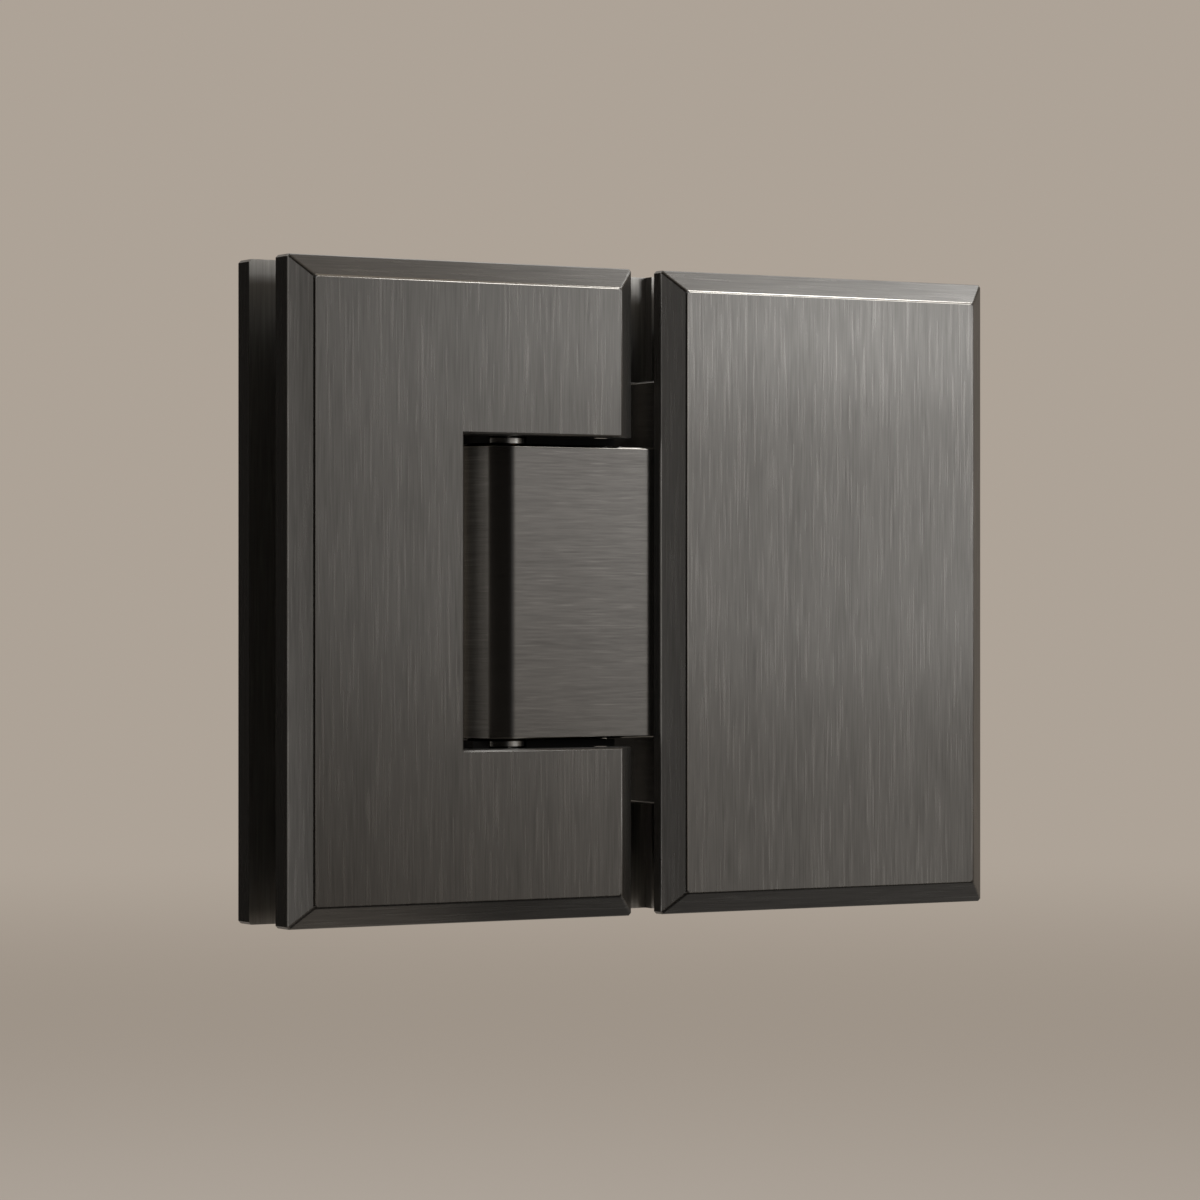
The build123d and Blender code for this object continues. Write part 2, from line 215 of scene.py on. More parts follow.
class HingeFinish(bpy.types.PropertyGroup):
    """Colours and brushing of the hinge's own surfaces."""

    metal_color: bpy.props.FloatVectorProperty(
        name="Gunmetal colour", description="Reflected colour of the plated brass",
        subtype="COLOR", size=3, min=0, max=1, default=(0.125, 0.1225, 0.1175))
    # Lighter than the gunmetal: painted light on the inner faces, in the shaded gaps between the
    # plates
    inside_lit_color: bpy.props.FloatVectorProperty(
        name="Inner face painted light colour", description="Colour of the plates' satin inner faces, lighter than the gunmetal as painted light",
        subtype="COLOR", size=3, min=0, max=1, default=(0.30, 0.294, 0.28))
    # Much lighter than the gunmetal: painted light on the notch walls, which the round nose
    # reflects
    milled_lit_color: bpy.props.FloatVectorProperty(
        name="Milled wall painted light colour", description="Colour of the walls of the notch, much lighter than the gunmetal as painted light that the round nose reflects",
        subtype="COLOR", size=3, min=0, max=1, default=(0.62, 0.608, 0.583))
    # A colour lighter than the gunmetal, painted on the plates' upper and left edges and the
    # blocks' edge strips as a highlight
    edge_highlight_color: bpy.props.FloatVectorProperty(
        name="Edge highlight colour", description="Lighter colour painted on the plates' upper and left edges and the blocks' edge strips as a highlight",
        subtype="COLOR", size=3, min=0, max=1, default=(0.32, 0.31, 0.29))
    metal_roughness: bpy.props.FloatProperty(
        name="Brushed roughness", description="Roughness of the brushed plates",
        min=0, max=1, default=0.28)
    block_roughness: bpy.props.FloatProperty(
        name="Block roughness", description="Roughness of the pivot block",
        min=0, max=1, default=0.26)
    anisotropy: bpy.props.FloatProperty(
        name="Brushed anisotropy", description="How far the brushing draws reflections out",
        min=0, max=1, default=0.8)
    line_width: bpy.props.FloatProperty(
        name="Brush line width", description="Width of one brush line",
        subtype="DISTANCE", unit="LENGTH", default=0.13 * MM)
    line_length: bpy.props.FloatProperty(
        name="Brush line length", description="Length of one brush line",
        subtype="DISTANCE", unit="LENGTH", default=3.5 * MM)
    line_contrast: bpy.props.FloatProperty(
        name="Brush line contrast", description="How far brush lines lighten and darken the metal",
        min=0, max=1, default=0.40)
    line_depth: bpy.props.FloatProperty(
        name="Brush line depth", description="Depth of the brush lines in the relief",
        subtype="DISTANCE", unit="LENGTH", default=0.0006 * MM)
    steel_color: bpy.props.FloatVectorProperty(
        name="Steel colour", description="Colour of the pin, washers and plungers",
        subtype="COLOR", size=3, min=0, max=1, default=(0.46, 0.45, 0.43))
    screw_color: bpy.props.FloatVectorProperty(
        name="Screw colour", description="Colour of the dark plated clamp screws",
        subtype="COLOR", size=3, min=0, max=1, default=(0.11, 0.108, 0.102))
    rubber_color: bpy.props.FloatVectorProperty(
        name="Gasket colour", description="Colour of the gasket rubber",
        subtype="COLOR", size=3, min=0, max=1, default=(0.022, 0.022, 0.021))
    bronze_color: bpy.props.FloatVectorProperty(
        name="Bush colour", description="Colour of the sintered bronze bushes",
        subtype="COLOR", size=3, min=0, max=1, default=(0.42, 0.27, 0.13))


class HingeStudio(bpy.types.PropertyGroup):
    """Lights, floor and camera."""

    world_color: bpy.props.FloatVectorProperty(
        name="Room colour", description="Light of the room all round",
        subtype="COLOR", size=3, min=0, max=1, default=(0.42, 0.365, 0.31))
    floor_color: bpy.props.FloatVectorProperty(
        name="Floor colour", description="Pale floor under the hinge",
        subtype="COLOR", size=3, min=0, max=1, default=(0.58, 0.555, 0.525))
    floor_drop: bpy.props.FloatProperty(
        name="Floor drop", description="Height of the hinge's middle over the floor",
        subtype="DISTANCE", unit="LENGTH", default=0.17)
    light_level: bpy.props.FloatProperty(
        name="Light level", description="Factor on every softbox", min=0, default=1.0)
    camera_distance: bpy.props.FloatProperty(
        name="Camera distance", description="From the point looked at",
        subtype="DISTANCE", unit="LENGTH", default=0.61015)
    camera_yaw: bpy.props.FloatProperty(
        name="Camera yaw", description="Angle between the view and the hinge's depth",
        subtype="ANGLE", default=math.radians(31.0))
    camera_lens: bpy.props.FloatProperty(
        name="Camera lens", description="Focal length in millimetres on a 36 mm sensor",
        min=1, default=132.66)


# Node helpers

def link(tree, source, target):
    """Joins two sockets."""
    tree.links.new(source, target)


def add(tree, kind, **values):
    """A new node with the given properties set on it."""
    node = tree.nodes.new(kind)
    for key, value in values.items():
        setattr(node, key, value)
    return node


def math_node(tree, operation, first, second=None):
    """A maths node between sockets or numbers; gives its output."""
    node = add(tree, "ShaderNodeMath", operation=operation)
    for socket, value in zip(node.inputs, (first, second)):
        if isinstance(value, (int, float)):
            socket.default_value = value
        elif value is not None:
            link(tree, value, socket)
    return node.outputs[0]


def new_group(name, inputs, outputs):
    """A shader node group with named sockets, and its input and output nodes."""
    group = bpy.data.node_groups.new(name, "ShaderNodeTree")
    for label, kind, default in inputs:
        socket = group.interface.new_socket(label, in_out="INPUT", socket_type=kind)
        if default is not None:
            socket.default_value = default
    for label, kind in outputs:
        group.interface.new_socket(label, in_out="OUTPUT", socket_type=kind)
    return group, add(group, "NodeGroupInput"), add(group, "NodeGroupOutput")


def drawn_noise(group, vector, scale, detail):
    """Noise on a stretched vector; gives its value."""
    noise = add(group, "ShaderNodeTexNoise", noise_dimensions="3D")
    noise.inputs["Scale"].default_value = scale
    noise.inputs["Detail"].default_value = detail
    link(group, vector, noise.inputs["Vector"])
    return noise.outputs[0]


def scaled_color(group, color, swing):
    """A colour made lighter and darker by a swing about nothing; gives its output."""
    gain = math_node(group, "ADD", math_node(group, "MULTIPLY", swing, 2.0), 1.0)
    tinted = add(group, "ShaderNodeVectorMath", operation="SCALE")
    link(group, color, tinted.inputs[0])
    link(group, gain, tinted.inputs["Scale"])
    return tinted.outputs[0]


def brushed_lines_group():
    """Fine lines drawn out along one direction, slow bands between them and bright scratches."""
    group, given, result = new_group(
        "Brushed lines",
        [("Vector", "NodeSocketVector", None), ("Stretch", "NodeSocketVector", (1, 1, 1))],
        [("Lines", "NodeSocketFloat"), ("Bands", "NodeSocketFloat"),
         ("Scratches", "NodeSocketFloat")])
    stretched = add(group, "ShaderNodeVectorMath", operation="MULTIPLY")
    link(group, given.outputs["Vector"], stretched.inputs[0])
    link(group, given.outputs["Stretch"], stretched.inputs[1])
    vector = stretched.outputs[0]
    fine = math_node(group, "MULTIPLY", drawn_noise(group, vector, 1.0, 1.0), FINE_SHARE)
    wide = math_node(group, "MULTIPLY", drawn_noise(group, vector, WIDE_SCALE, 1.0), WIDE_SHARE)
    link(group, math_node(group, "ADD", fine, wide), result.inputs["Lines"])
    link(group, drawn_noise(group, vector, BAND_SCALE, 1.0), result.inputs["Bands"])
    sharp = add(group, "ShaderNodeMapRange", interpolation_type="SMOOTHSTEP")
    sharp.inputs["From Min"].default_value = SCRATCH_START
    sharp.inputs["From Max"].default_value = SCRATCH_WHOLE
    link(group, drawn_noise(group, vector, SCRATCH_SCALE, 0.0), sharp.inputs["Value"])
    link(group, sharp.outputs[0], result.inputs["Scratches"])
    return group


def brushed_tone_group():
    """Turns brush lines into a colour, a roughness and a relief height."""
    group, given, result = new_group(
        "Brushed tone",
        [("Color", "NodeSocketColor", (0.1, 0.1, 0.1, 1)), ("Roughness", "NodeSocketFloat", 0.3),
         ("Contrast", "NodeSocketFloat", 0.2), ("Lines", "NodeSocketFloat", 0.5),
         ("Bands", "NodeSocketFloat", 0.5), ("Scratches", "NodeSocketFloat", 0.0)],
        [("Color", "NodeSocketColor"), ("Roughness", "NodeSocketFloat"),
         ("Height", "NodeSocketFloat")])
    lines = math_node(group, "SUBTRACT", given.outputs["Lines"], 0.5)
    bands = math_node(group, "MULTIPLY",
                      math_node(group, "SUBTRACT", given.outputs["Bands"], 0.5), BAND_STRENGTH)
    light = math_node(group, "MULTIPLY", given.outputs["Scratches"], SCRATCH_STRENGTH)
    swing = math_node(group, "ADD", math_node(group, "ADD", lines, bands), light)
    factor = math_node(group, "MULTIPLY", swing, given.outputs["Contrast"])
    rough = math_node(group, "ADD", given.outputs["Roughness"],
                      math_node(group, "MULTIPLY", factor, ROUGHNESS_SWING))
    link(group, scaled_color(group, given.outputs["Color"], factor), result.inputs["Color"])
    link(group, rough, result.inputs["Roughness"])
    link(group, math_node(group, "ADD", given.outputs["Lines"], light), result.inputs["Height"])
    return group


def mottle_group():
    """Soft uneven tone for rubber, bronze and steel, with a fine grain for relief."""
    group, given, result = new_group(
        "Mottle",
        [("Vector", "NodeSocketVector", None), ("Color", "NodeSocketColor", (0.5, 0.5, 0.5, 1)),
         ("Roughness", "NodeSocketFloat", 0.4), ("Scale", "NodeSocketFloat", 900.0),
         ("Amount", "NodeSocketFloat", 0.15)],
        [("Color", "NodeSocketColor"), ("Roughness", "NodeSocketFloat"),
         ("Height", "NodeSocketFloat")])
    grain = add(group, "ShaderNodeTexNoise", noise_dimensions="3D")
    grain.inputs["Detail"].default_value = GRAIN_DETAIL
    link(group, given.outputs["Vector"], grain.inputs["Vector"])
    link(group, given.outputs["Scale"], grain.inputs["Scale"])
    swing = math_node(group, "MULTIPLY", math_node(group, "SUBTRACT", grain.outputs[0], 0.5),
                      given.outputs["Amount"])
    link(group, scaled_color(group, given.outputs["Color"], swing), result.inputs["Color"])
    link(group, math_node(group, "ADD", given.outputs["Roughness"], swing),
         result.inputs["Roughness"])
    link(group, grain.outputs[0], result.inputs["Height"])
    return group


def shader_group(name, build):
    """A node group, built the first time that it is asked for."""
    return bpy.data.node_groups.get(name) or build()


def material_named(name, build):
    """A material, built the first time that it is asked for."""
    return bpy.data.materials.get(name) or build()


def new_material(name):
    """An empty node material with its Principled shader and object coordinates."""
    material = bpy.data.materials.new(name)
    material.use_nodes = True
    tree = material.node_tree
    coordinates = add(tree, "ShaderNodeTexCoord")
    return material, tree, tree.nodes["Principled BSDF"], coordinates.outputs["Object"]


def finish_shader(tree, shader, tone, depth):
    """Feeds a group's colour and roughness to the shader, and its height to a bump."""
    link(tree, tone.outputs["Color"], shader.inputs["Base Color"])
    link(tree, tone.outputs["Roughness"], shader.inputs["Roughness"])
    bump = add(tree, "ShaderNodeBump")
    bump.inputs["Strength"].default_value = 1.0
    bump.inputs["Distance"].default_value = depth
    link(tree, tone.outputs["Height"], bump.inputs["Height"])
    link(tree, bump.outputs[0], shader.inputs["Normal"])


def brushed_material(name, finish, along, roughness, rotation=0.0, fineness=1.0, color=None,
                     anisotropy=None):
    """Brushed metal whose lines run up (Z), level (X) or round an upright axis."""
    material, tree, shader, coordinates = new_material(name)
    across = WAVES_PER_LINE * fineness / finish.line_width
    lengthwise = WAVES_PER_LINE * fineness ** 2 / finish.line_length
    stretch = {"Z": (across, across, lengthwise), "X": (lengthwise, across, across),
               "round": (lengthwise, lengthwise, across)}[along]
    lines = add(tree, "ShaderNodeGroup",
                node_tree=shader_group("Brushed lines", brushed_lines_group))
    lines.inputs["Stretch"].default_value = stretch
    link(tree, coordinates, lines.inputs["Vector"])
    tone = add(tree, "ShaderNodeGroup",
               node_tree=shader_group("Brushed tone", brushed_tone_group))
    tone.inputs["Color"].default_value = (*(color or finish.metal_color), 1)
    tone.inputs["Roughness"].default_value = roughness
    tone.inputs["Contrast"].default_value = finish.line_contrast
    for label in ("Lines", "Bands", "Scratches"):
        link(tree, lines.outputs[label], tone.inputs[label])
    shader.inputs["Metallic"].default_value = 1.0
    shader.inputs["Anisotropic"].default_value = (
        finish.anisotropy if anisotropy is None else anisotropy)
    shader.inputs["Anisotropic Rotation"].default_value = rotation
    if along == "X":
        tangent = add(tree, "ShaderNodeTangent", direction_type="RADIAL", axis="X")
        link(tree, tangent.outputs[0], shader.inputs["Tangent"])
    finish_shader(tree, shader, tone, finish.line_depth)
    return material


def mottled_material(name, color):
    """A plain finish with a soft uneven tone and a fine relief."""
    roughness, metallic, scale, amount, depth = PLAIN_FINISHES[name]
    material, tree, shader, coordinates = new_material(name)
    tone = add(tree, "ShaderNodeGroup", node_tree=shader_group("Mottle", mottle_group))
    tone.inputs["Color"].default_value = (*color, 1)
    tone.inputs["Roughness"].default_value = roughness
    tone.inputs["Scale"].default_value = scale
    tone.inputs["Amount"].default_value = amount
    link(tree, coordinates, tone.inputs["Vector"])
    shader.inputs["Metallic"].default_value = metallic
    finish_shader(tree, shader, tone, depth)
    return material


def plain(name, color):
    """One of the plain finishes, in a colour."""
    return material_named(name, lambda: mottled_material(name, color))


def brushed(name, *values, **options):
    """One of the brushed finishes."""
    return material_named(name, lambda: brushed_material(name, *values, **options))


def milled_lit_material(finish):
    """The rough walls of the notch and of the carrier's arms, in a much lighter colour than the
    gunmetal: painted light, which the round nose beside them reflects.
    """
    return brushed("Gunmetal milled wall", finish, "Z", MILLED_ROUGHNESS,
                   color=finish.milled_lit_color)


def plate_materials(finish):
    """A plate's materials, in the order of its kinds of face."""
    return (
        brushed("Gunmetal brushed upright", finish, "Z", finish.metal_roughness),
        brushed("Gunmetal brushed level", finish, "X", finish.metal_roughness),
        # The inner faces' lighter colour is painted light
        brushed("Gunmetal satin inside", finish, "Z", INSIDE_ROUGHNESS,
                color=finish.inside_lit_color, anisotropy=0.0),
        # The polished edges' lighter colour is a painted highlight
        plain("Gunmetal polished edge", finish.edge_highlight_color),
        milled_lit_material(finish),
    )


def block_materials(finish):
    """A block's materials, in the order of its kinds of face."""
    return (
        brushed("Gunmetal brushed round", finish, "round", finish.block_roughness,
                rotation=QUARTER_TURN, fineness=BLOCK_FINENESS),
        milled_lit_material(finish),
        # The polished edges' lighter colour is a painted highlight
        plain("Gunmetal polished edge", finish.edge_highlight_color),
    )


# Mesh helpers

def new_object(name, data):
    """An object at the origin, in the scene."""
    item = bpy.data.objects.new(name, data)
    bpy.context.scene.collection.objects.link(item)
    return item


def finished_mesh(name, mesh):
    """Turns a bmesh into a mesh and frees it."""
    data = bpy.data.meshes.new(name)
    mesh.to_mesh(data)
    mesh.free()
    return data


def merged_copy(node_name, piece_name):
    """A clean copy of a solid's mesh: one surface, with its flat faces whole."""
    mesh = bmesh.new()
    mesh.from_mesh(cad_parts[node_name].data)
    bmesh.ops.remove_doubles(mesh, verts=mesh.verts, dist=WELD_DISTANCE)
    bmesh.ops.dissolve_limit(mesh, angle_limit=FLAT_ANGLE, verts=mesh.verts, edges=mesh.edges)
    return new_object(piece_name, finished_mesh(piece_name, mesh))


def apply_modifiers(piece):
    """Turns the evaluated piece into its plain mesh."""
    graph = bpy.context.evaluated_depsgraph_get()
    result = bpy.data.meshes.new_from_object(
        piece.evaluated_get(graph), preserve_all_data_layers=True, depsgraph=graph)
    result.name = piece.name
    piece.modifiers.clear()
    piece.data = result


def round_light_on_edges(piece, sharp_angle):
    """Rounds the light over narrow edge strips and keeps the wide faces flat."""
    data = piece.data
    data.shade_smooth()
    data.set_sharp_from_angle(angle=sharp_angle)
    weighted = piece.modifiers.new("Flat faces", "WEIGHTED_NORMAL")
    weighted.mode = "FACE_AREA"
    weighted.weight = FULL_WEIGHT
    weighted.keep_sharp = True
    apply_modifiers(piece)


def true_surface_light(piece, axis, radius):
    """Keeps flat faces flat, and gives a nose round an upright axis a true cylinder's light."""
    round_light_on_edges(piece, BLOCK_CREASE)
    data = piece.data
    normals = [Vector(corner.vector) for corner in data.corner_normals]
    for polygon in data.polygons:
        off_axis = Vector((polygon.center.x - axis.x, polygon.center.y - axis.y))
        on_nose = (abs(polygon.normal.z) < HARDLY and off_axis.x < 0
                   and NOSE_NEAREST * radius < off_axis.length < NOSE_FARTHEST * radius)
        for loop in polygon.loop_indices:
            point = data.vertices[data.loops[loop].vertex_index].co
            if on_nose:
                normals[loop] = Vector((point.x - axis.x, point.y - axis.y, 0)).normalized()
            elif polygon.area > WIDE_FACE:
                normals[loop] = polygon.normal.copy()
    data.normals_split_custom_set(normals)


def set_faces(piece, materials, choose):
    """Gives each face the material that its kind calls for."""
    for material in materials:
        piece.data.materials.append(material)
    for polygon in piece.data.polygons:
        polygon.material_index = choose(polygon)


def finish_piece(piece, body, nodes):
    """Parents a finished piece to its body's empty and hides the solids that it stands in for."""
    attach(piece, body)
    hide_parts(*nodes)


def dress_nodes(names, material):
    """Puts one material on solids that keep their own mesh."""
    for name in names:
        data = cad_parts[name].data
        data.materials.clear()
        data.materials.append(material)


# Operators, one for each piece or group of like pieces

def narrow_edge(data, polygon):
    """Whether a face is a narrow strip, as a broken edge is."""
    corners = [data.vertices[index].co for index in polygon.vertices]
    outline = sum((a - b).length for a, b in zip(corners, corners[1:] + corners[:1]))
    return 2 * polygon.area / outline < NARROW_EDGE


def painted_highlight_edge(normal):
    """Whether a strip is the upper or the left edge of a plate's face, and not a mitre; such
    strips get a lighter colour as a painted highlight.
    """
    upper = abs(normal.x) < HARDLY < normal.z
    left = abs(normal.z) < HARDLY and normal.x < -HARDLY
    return abs(normal.y) > NEARLY_SQUARE and (upper or left)


def plate_face_kind(data, polygon, inward, notched, low, high):
    """The kind of a plate's face; upper and left edge strips get a painted highlight, the inner
    faces and the margin's step are satin with painted light, and the notch's walls are milled and
    painted light.
    """
    normal, center = polygon.normal, polygon.center
    # Upper and left edge strips: a lighter colour as a painted highlight
    if painted_highlight_edge(normal) and narrow_edge(data, polygon):
        return EDGE_HIGHLIGHT
    # Inner faces: satin, in a lighter colour that is painted light
    if normal.y * inward > SQUARE:
        return INSIDE
    within = all(low[axis] + OUTLINE_MARGIN < center[axis] < high[axis] - OUTLINE_MARGIN
                 for axis in (0, 2))
    # Walls within the outline: on the door's plates milled and painted light, on the fixed plates
    # satin with painted light
    if within and abs(normal.x) > SQUARE and polygon.area > WIDE_FACE:
        return MILLED_LIT if notched else INSIDE
    return ACROSS if abs(normal.z) > SLOPING else UPRIGHT


class HINGE_OT_cover_plates(bpy.types.Operator):
    """Brush the four bevelled cover plates"""

    bl_idname = "hinge.cover_plates"
    bl_label = "Cover plates"

    def execute(self, context):
        materials = plate_materials(context.scene.hinge_finish)
        for node_name, body in PLATES.items():
            inward = 1 if "front" in node_name else -1
            notched = body == DOOR
            low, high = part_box(node_name)
            piece = merged_copy(node_name, node_name + "_brushed")
            set_faces(piece, materials, lambda polygon: plate_face_kind(
                piece.data, polygon, inward, notched, low, high))
            round_light_on_edges(piece, PLATE_CREASE)
            finish_piece(piece, body, (node_name,))
        return {"FINISHED"}


def block_face_kind(data, polygon, carrier):
    """The kind of a block's face; its edge strips get a painted highlight, and only the carrier's
    ends are milled and painted light.
    """
    normal = polygon.normal
    # Upper and lower edge strips: a lighter colour as a painted highlight
    if A_LITTLE < abs(normal.z) < SQUARE and narrow_edge(data, polygon):
        return BLOCK_EDGE_HIGHLIGHT
    # The carrier's ends: milled, in a much lighter colour that is painted light
    return BLOCK_MILLED_LIT if carrier and abs(normal.x) > SQUARE else BLOCK_ROUND


class HINGE_OT_blocks(bpy.types.Operator):
    """Brush the pivot block and the pin carrier"""

    bl_idname = "hinge.blocks"
    bl_label = "Pivot block and carrier"

    def execute(self, context):
        materials = block_materials(context.scene.hinge_finish)
        low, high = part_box("pivot_block")
        pin_low, pin_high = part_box("pivot_pin")
        for node_name, body in BLOCKS.items():
            piece = merged_copy(node_name, node_name + "_brushed")
            carrier = node_name == "pin_carrier"
            set_faces(piece, materials,
                      lambda polygon: block_face_kind(piece.data, polygon, carrier))
            true_surface_light(piece, (pin_low + pin_high) / 2, (high.y - low.y) / 2)
            finish_piece(piece, body, (node_name,))
        return {"FINISHED"}


def ring_solid(name, rings, segments):
    """A closed solid from rings; a ring is a radius and a height, both functions of the angle."""
    mesh = bmesh.new()
    rows = []
    for radius, height in rings:
        row = []
        for step in range(segments):
            angle = 2 * math.pi * step / segments
            r = radius(angle)
            row.append(mesh.verts.new((r * math.cos(angle), r * math.sin(angle), height(angle))))
        rows.append(row)
    for below, above in zip(rows, rows[1:]):
        for step in range(segments):
            following = (step + 1) % segments
            mesh.faces.new((below[step], below[following], above[following], above[step]))
    mesh.faces.new(reversed(rows[0]))
    mesh.faces.new(rows[-1])
    bmesh.ops.triangulate(mesh, faces=[face for face in mesh.faces if len(face.verts) > 4])
    bmesh.ops.recalc_face_normals(mesh, faces=mesh.faces)
    data = finished_mesh(name, mesh)
    data.shade_smooth()
    data.set_sharp_from_angle(angle=SCREW_CREASE)
    return data


def level(value):
    """The same value at every angle."""
    return lambda angle: value


def hexagon(width):
    """Radius of a hexagon with that width across its flats."""
    sixth = math.pi / 3
    return lambda angle: width / 2 / math.cos((angle % sixth) - sixth / 2)


def socket_rings(width, depth):
    """Rings of a hex socket: the drilled cone, the flats and the small lead-in at its mouth."""
    cone, bottom, lead_in, flare = 0.25 * width, 0.42 * width, 0.15 * MM, 0.25 * MM
    return [(level(AXIS_HOLE), level(-depth - cone)),
            (level(bottom), level(-depth)),
            (hexagon(width), level(-depth)),
            (hexagon(width), level(-lead_in)),
            (hexagon(width + flare), level(0.0))]


def thread_rings(diameter, depth, pitch, top, bottom):
    """Rings of a screw thread that runs out at both ends."""
    count = int(abs(bottom - top) / pitch * THREAD_STEPS)
    rings = []
    for row in range(count + 1):
        height = top + (bottom - top) * row / count
        ease = min(1, row / THREAD_STEPS, (count - row) / THREAD_STEPS)

        def radius(angle, height=height, ease=ease):
            turn = (height / pitch - angle / (2 * math.pi)) % 1
            ridge = max(0.0, 1 - abs(turn * 2 - 1) * FLANK_STEEPNESS)
            return diameter / 2 - depth * (1 - ridge * ease)
        rings.append((radius, level(height)))
    return rings


def grub_mesh(name, length, diameter, key, pitch):
    """A headless socket screw; its face is at height zero."""
    depth = GRUB_THREAD_SHARE * diameter
    core = diameter / 2 - depth
    broken, start, point = 0.1 * MM, 0.15 * MM, 0.35 * MM
    rings = socket_rings(key, GRUB_KEY_DEPTH)
    rings += [(level(core - broken), level(0.0)), (level(core), level(-broken))]
    rings += thread_rings(diameter, depth, pitch, -start, -length + THREAD_END)
    rings += [(level(core - point), level(-length)), (level(AXIS_HOLE), level(-length))]
    return ring_solid(name, rings, GRUB_SEGMENTS)


def clamp_screw_mesh(name, length, head):
    """A countersunk socket screw; its head's face is at height zero."""
    shank, core = CLAMP_DIAMETER / 2, CLAMP_DIAMETER / 2 - CLAMP_THREAD_DEPTH
    rim, cone = 0.3 * MM, (head - CLAMP_DIAMETER) / 2
    broken_out, broken_down = 0.15 * MM, 0.12 * MM
    neck, start, point = 0.8 * MM, 1.2 * MM, 0.4 * MM
    rings = socket_rings(CLAMP_KEY, CLAMP_KEY_DEPTH)
    rings += [(level(head / 2 - broken_out), level(0.0)), (level(head / 2), level(-broken_down)),
              (level(head / 2), level(-rim)), (level(shank), level(-rim - cone)),
              (level(shank), level(-rim - cone - neck))]
    rings += thread_rings(CLAMP_DIAMETER, CLAMP_THREAD_DEPTH, CLAMP_PITCH,
                          -rim - cone - start, -length + THREAD_END)
    rings += [(level(core - point), level(-length)), (level(AXIS_HOLE), level(-length))]
    return ring_solid(name, rings, CLAMP_SEGMENTS)


def group_input(group, label, kind, default=None):
    """A named input of a geometry tree; gives its identifier."""
    socket = group.interface.new_socket(label, in_out="INPUT", socket_type=kind)
    if default is not None:
        socket.default_value = default
    return socket.identifier


def screw_row_tree():
    """Geometry tree that sets one screw at each place of a row and turns it to its hole."""
    group = bpy.data.node_groups.new("Screws in a row", "GeometryNodeTree")
    names = {
        "screw": group_input(group, "Screw", "NodeSocketObject"),
        "start": group_input(group, "First place", "NodeSocketVector"),
        "step": group_input(group, "Step", "NodeSocketVector"),
        "count": group_input(group, "Count", "NodeSocketInt", 2),
        "turn": group_input(group, "Turn", "NodeSocketRotation"),
        "material": group_input(group, "Material", "NodeSocketMaterial"),
    }
    group.interface.new_socket("Geometry", in_out="OUTPUT", socket_type="NodeSocketGeometry")
    given, result = add(group, "NodeGroupInput"), add(group, "NodeGroupOutput")
    row = add(group, "GeometryNodeMeshLine", mode="OFFSET")
    link(group, given.outputs["Count"], row.inputs["Count"])
    link(group, given.outputs["First place"], row.inputs["Start Location"])
    link(group, given.outputs["Step"], row.inputs["Offset"])
    screw = add(group, "GeometryNodeObjectInfo")
    link(group, given.outputs["Screw"], screw.inputs["Object"])
    placed = add(group, "GeometryNodeInstanceOnPoints")
    link(group, row.outputs[0], placed.inputs["Points"])
    link(group, screw.outputs["Geometry"], placed.inputs["Instance"])
    link(group, given.outputs["Turn"], placed.inputs["Rotation"])
    real = add(group, "GeometryNodeRealizeInstances")
    link(group, placed.outputs[0], real.inputs[0])
    finish = add(group, "GeometryNodeSetMaterial")
    link(group, real.outputs[0], finish.inputs["Geometry"])
    link(group, given.outputs["Material"], finish.inputs["Material"])
    link(group, finish.outputs[0], result.inputs[0])
    return group, names


def place_screws(name, mesh, row, turn, material):
    """One plain mesh of all the screws of a row: its first place, its step and their count."""
    group = bpy.data.node_groups.get("Screws in a row")
    if group is None:
        group, names = screw_row_tree()
        group["sockets"] = names
    names = group["sockets"]
    source = new_object(name + "_source", mesh)
    piece = new_object(name, bpy.data.meshes.new(name))
    modifier = piece.modifiers.new("Screws", "NODES")
    modifier.node_group = group
    values = (source, *row, turn, material)
    for key, value in zip(("screw", "start", "step", "count", "turn", "material"), values):
        modifier[names[key]] = value
    apply_modifiers(piece)
    bpy.data.objects.remove(source)
    return piece


class HINGE_OT_screws(bpy.types.Operator):
    """Make the clamp screws, spring plugs and pin lock screws, with threads and sockets"""

    bl_idname = "hinge.screws"
    bl_label = "Screws"

    def execute(self, context):
        plated = plain("Dark plated steel", context.scene.hinge_finish.screw_color)
        black = plain("Black oxide steel", OXIDE_COLOR)
        quarter = math.pi / 2
        for node_name, body in CLAMP_NODES.items():
            low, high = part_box(node_name)
            head = high.x - low.x
            mesh = clamp_screw_mesh("clamp_screw", high.y - low.y, head)
            first = Vector(((low.x + high.x) / 2, high.y, low.z + head / 2))
            step = Vector((0, 0, high.z - low.z - head))
            piece = place_screws(node_name + "_threaded", mesh, (first, step, 2),
                                 (-quarter, 0, 0), plated)
            finish_piece(piece, body, (node_name,))
        for nodes, body, key, pitch in ((PLUG_NODES, FIXED, PLUG_KEY, PLUG_PITCH),
                                        (LOCK_NODES, DOOR, LOCK_KEY, LOCK_PITCH)):
            (low, high), (other_low, _) = (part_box(node_name) for node_name in nodes)
            mesh = grub_mesh("grub_screw", high.x - low.x, high.z - low.z, key, pitch)
            first = Vector((high.x, 0, (low.z + high.z) / 2))
            step = Vector((0, 0, other_low.z - low.z))
            name = nodes[0].replace("upper_", "") + "s_threaded"
            piece = place_screws(name, mesh, (first, step, 2), (0, quarter, 0), black)
            finish_piece(piece, body, nodes)
        return {"FINISHED"}


